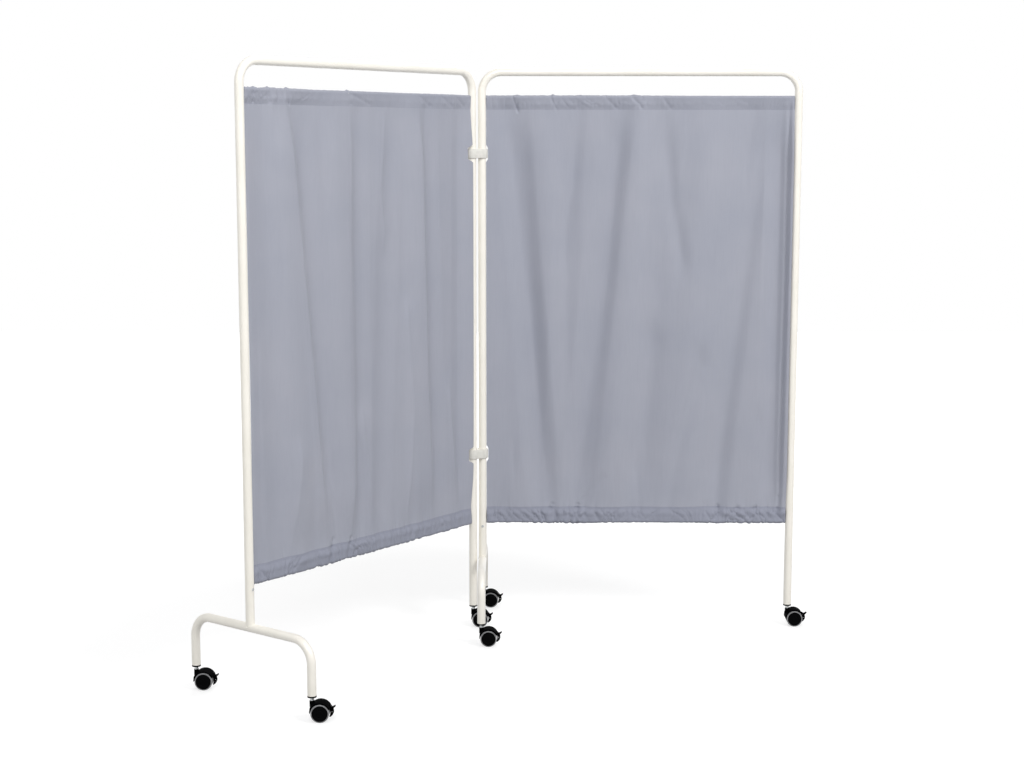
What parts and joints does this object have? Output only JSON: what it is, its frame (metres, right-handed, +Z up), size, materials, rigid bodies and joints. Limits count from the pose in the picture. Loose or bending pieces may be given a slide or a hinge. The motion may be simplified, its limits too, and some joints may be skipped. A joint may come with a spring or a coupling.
{
  "type": "folding ward privacy screen",
  "caption": "Folding privacy screen on castors: tube frames with gathered cloths on rods, hinged with clamps between the inner uprights.",
  "frame": {"origin": "on the floor, at the middle of the footprint's box", "axes": "+X along the right wing towards its outer upright, +Y away from the viewer, +Z up"},
  "size_m": [1.8486, 1.201, 1.76],
  "materials": {
    "cream_powder_coat": "satin cream powder coat on steel tube",
    "rod_steel": "plain drawn steel rod",
    "cloth": "plain blue-grey woven cloth",
    "clamp_plastic": "matte off-white plastic",
    "zinc_plated_steel": "zinc plated",
    "black_plastic": "fine-grained black plastic",
    "wheel_plastic": "black disc with a grey moulded tyre"
  },
  "bodies": {
    "hinge_clamps": {"upper_clamp_front_half": "clamp_plastic", "upper_clamp_rear_half": "clamp_plastic", "upper_clamp_screw": "zinc_plated_steel", "lower_clamp_front_half": "clamp_plastic", "lower_clamp_rear_half": "clamp_plastic", "lower_clamp_screw": "zinc_plated_steel"},
    "right_wing": {"right_frame": "cream_powder_coat", "right_foot": "cream_powder_coat", "right_foot_screw": "zinc_plated_steel", "right_top_curtain_rod": "rod_steel", "right_bottom_curtain_rod": "rod_steel", "right_curtain": "cloth", "caster_right_front_socket": "black_plastic", "caster_right_front_stem": "zinc_plated_steel", "caster_right_rear_socket": "black_plastic", "caster_right_rear_stem": "zinc_plated_steel", "caster_right_outer_socket": "black_plastic", "caster_right_outer_stem": "zinc_plated_steel"},
    "left_wing": {"left_frame": "cream_powder_coat", "left_foot": "cream_powder_coat", "left_foot_screw": "zinc_plated_steel", "left_top_curtain_rod": "rod_steel", "left_bottom_curtain_rod": "rod_steel", "left_curtain": "cloth", "caster_left_front_socket": "black_plastic", "caster_left_front_stem": "zinc_plated_steel", "caster_left_rear_socket": "black_plastic", "caster_left_rear_stem": "zinc_plated_steel", "caster_left_inner_socket": "black_plastic", "caster_left_inner_stem": "zinc_plated_steel"},
    "caster_left_front": {"caster_left_front_housing": "black_plastic", "caster_left_front_axle": "zinc_plated_steel"},
    "caster_left_front_brake": {"caster_left_front_brake_lever": "black_plastic"},
    "caster_left_front_front_wheel": {"caster_left_front_front_wheel": "wheel_plastic"},
    "caster_left_front_rear_wheel": {"caster_left_front_rear_wheel": "wheel_plastic"},
    "caster_left_rear": {"caster_left_rear_housing": "black_plastic", "caster_left_rear_axle": "zinc_plated_steel"},
    "caster_left_rear_brake": {"caster_left_rear_brake_lever": "black_plastic"},
    "caster_left_rear_front_wheel": {"caster_left_rear_front_wheel": "wheel_plastic"},
    "caster_left_rear_rear_wheel": {"caster_left_rear_rear_wheel": "wheel_plastic"},
    "caster_left_inner": {"caster_left_inner_housing": "black_plastic", "caster_left_inner_axle": "zinc_plated_steel"},
    "caster_left_inner_brake": {"caster_left_inner_brake_lever": "black_plastic"},
    "caster_left_inner_front_wheel": {"caster_left_inner_front_wheel": "wheel_plastic"},
    "caster_left_inner_rear_wheel": {"caster_left_inner_rear_wheel": "wheel_plastic"},
    "caster_right_front": {"caster_right_front_housing": "black_plastic", "caster_right_front_axle": "zinc_plated_steel"},
    "caster_right_front_brake": {"caster_right_front_brake_lever": "black_plastic"},
    "caster_right_front_front_wheel": {"caster_right_front_front_wheel": "wheel_plastic"},
    "caster_right_front_rear_wheel": {"caster_right_front_rear_wheel": "wheel_plastic"},
    "caster_right_rear": {"caster_right_rear_housing": "black_plastic", "caster_right_rear_axle": "zinc_plated_steel"},
    "caster_right_rear_brake": {"caster_right_rear_brake_lever": "black_plastic"},
    "caster_right_rear_front_wheel": {"caster_right_rear_front_wheel": "wheel_plastic"},
    "caster_right_rear_rear_wheel": {"caster_right_rear_rear_wheel": "wheel_plastic"},
    "caster_right_outer": {"caster_right_outer_housing": "black_plastic", "caster_right_outer_axle": "zinc_plated_steel"},
    "caster_right_outer_brake": {"caster_right_outer_brake_lever": "black_plastic"},
    "caster_right_outer_front_wheel": {"caster_right_outer_front_wheel": "wheel_plastic"},
    "caster_right_outer_rear_wheel": {"caster_right_outer_rear_wheel": "wheel_plastic"}
  },
  "joints": [
    {"name": "right_upright_hinge", "type": "hinge", "parent": "hinge_clamps", "child": "right_wing", "pos_m": [-0.11392, 0.35403, 1], "axis": [0, 0, -1], "range_deg": [-65, 12]},
    {"name": "left_upright_hinge", "type": "hinge", "parent": "hinge_clamps", "child": "left_wing", "pos_m": [-0.14439, 0.33894, 1], "axis": [0, 0, 1], "range_deg": [-136, 83.6]},
    {"name": "caster_left_front_swivel", "type": "hinge", "parent": "left_wing", "child": "caster_left_front", "pos_m": [-0.55227, -0.57603, 0.05], "axis": [0, 0, 1], "continuous": true},
    {"name": "caster_left_front_brake_press", "type": "hinge", "parent": "caster_left_front", "child": "caster_left_front_brake", "pos_m": [-0.50377, -0.57603, 0.0375], "axis": [0, 1, 0], "range_deg": [0, 18]},
    {"name": "caster_left_front_front_roll", "type": "hinge", "parent": "caster_left_front", "child": "caster_left_front_front_wheel", "pos_m": [-0.53027, -0.57603, 0.025], "axis": [0, 1, 0], "continuous": true},
    {"name": "caster_left_front_rear_roll", "type": "hinge", "parent": "caster_left_front", "child": "caster_left_front_rear_wheel", "pos_m": [-0.53027, -0.57603, 0.025], "axis": [0, 1, 0], "continuous": true},
    {"name": "caster_left_rear_swivel", "type": "hinge", "parent": "left_wing", "child": "caster_left_rear", "pos_m": [-0.91183, -0.30212, 0.05], "axis": [0, 0, 1], "continuous": true},
    {"name": "caster_left_rear_brake_press", "type": "hinge", "parent": "caster_left_rear", "child": "caster_left_rear_brake", "pos_m": [-0.86333, -0.30212, 0.0375], "axis": [0, 1, 0], "range_deg": [0, 18]},
    {"name": "caster_left_rear_front_roll", "type": "hinge", "parent": "caster_left_rear", "child": "caster_left_rear_front_wheel", "pos_m": [-0.88983, -0.30212, 0.025], "axis": [0, 1, 0], "continuous": true},
    {"name": "caster_left_rear_rear_roll", "type": "hinge", "parent": "caster_left_rear", "child": "caster_left_rear_rear_wheel", "pos_m": [-0.88983, -0.30212, 0.025], "axis": [0, 1, 0], "continuous": true},
    {"name": "caster_left_inner_swivel", "type": "hinge", "parent": "left_wing", "child": "caster_left_inner", "pos_m": [-0.14439, 0.33894, 0.05], "axis": [0, 0, 1], "continuous": true},
    {"name": "caster_left_inner_brake_press", "type": "hinge", "parent": "caster_left_inner", "child": "caster_left_inner_brake", "pos_m": [-0.09589, 0.33894, 0.0375], "axis": [0, 1, 0], "range_deg": [0, 18]},
    {"name": "caster_left_inner_front_roll", "type": "hinge", "parent": "caster_left_inner", "child": "caster_left_inner_front_wheel", "pos_m": [-0.12239, 0.33894, 0.025], "axis": [0, 1, 0], "continuous": true},
    {"name": "caster_left_inner_rear_roll", "type": "hinge", "parent": "caster_left_inner", "child": "caster_left_inner_rear_wheel", "pos_m": [-0.12239, 0.33894, 0.025], "axis": [0, 1, 0], "continuous": true},
    {"name": "caster_right_front_swivel", "type": "hinge", "parent": "right_wing", "child": "caster_right_front", "pos_m": [-0.11392, 0.12403, 0.05], "axis": [0, 0, 1], "continuous": true},
    {"name": "caster_right_front_brake_press", "type": "hinge", "parent": "caster_right_front", "child": "caster_right_front_brake", "pos_m": [-0.06542, 0.12403, 0.0375], "axis": [0, 1, 0], "range_deg": [0, 18]},
    {"name": "caster_right_front_front_roll", "type": "hinge", "parent": "caster_right_front", "child": "caster_right_front_front_wheel", "pos_m": [-0.09192, 0.12403, 0.025], "axis": [0, 1, 0], "continuous": true},
    {"name": "caster_right_front_rear_roll", "type": "hinge", "parent": "caster_right_front", "child": "caster_right_front_rear_wheel", "pos_m": [-0.09192, 0.12403, 0.025], "axis": [0, 1, 0], "continuous": true},
    {"name": "caster_right_rear_swivel", "type": "hinge", "parent": "right_wing", "child": "caster_right_rear", "pos_m": [-0.11392, 0.57603, 0.05], "axis": [0, 0, 1], "continuous": true},
    {"name": "caster_right_rear_brake_press", "type": "hinge", "parent": "caster_right_rear", "child": "caster_right_rear_brake", "pos_m": [-0.06542, 0.57603, 0.0375], "axis": [0, 1, 0], "range_deg": [0, 18]},
    {"name": "caster_right_rear_front_roll", "type": "hinge", "parent": "caster_right_rear", "child": "caster_right_rear_front_wheel", "pos_m": [-0.09192, 0.57603, 0.025], "axis": [0, 1, 0], "continuous": true},
    {"name": "caster_right_rear_rear_roll", "type": "hinge", "parent": "caster_right_rear", "child": "caster_right_rear_rear_wheel", "pos_m": [-0.09192, 0.57603, 0.025], "axis": [0, 1, 0], "continuous": true},
    {"name": "caster_right_outer_swivel", "type": "hinge", "parent": "right_wing", "child": "caster_right_outer", "pos_m": [0.86108, 0.35403, 0.05], "axis": [0, 0, 1], "continuous": true},
    {"name": "caster_right_outer_brake_press", "type": "hinge", "parent": "caster_right_outer", "child": "caster_right_outer_brake", "pos_m": [0.90958, 0.35403, 0.0375], "axis": [0, 1, 0], "range_deg": [0, 18]},
    {"name": "caster_right_outer_front_roll", "type": "hinge", "parent": "caster_right_outer", "child": "caster_right_outer_front_wheel", "pos_m": [0.88308, 0.35403, 0.025], "axis": [0, 1, 0], "continuous": true},
    {"name": "caster_right_outer_rear_roll", "type": "hinge", "parent": "caster_right_outer", "child": "caster_right_outer_rear_wheel", "pos_m": [0.88308, 0.35403, 0.025], "axis": [0, 1, 0], "continuous": true}
  ]
}
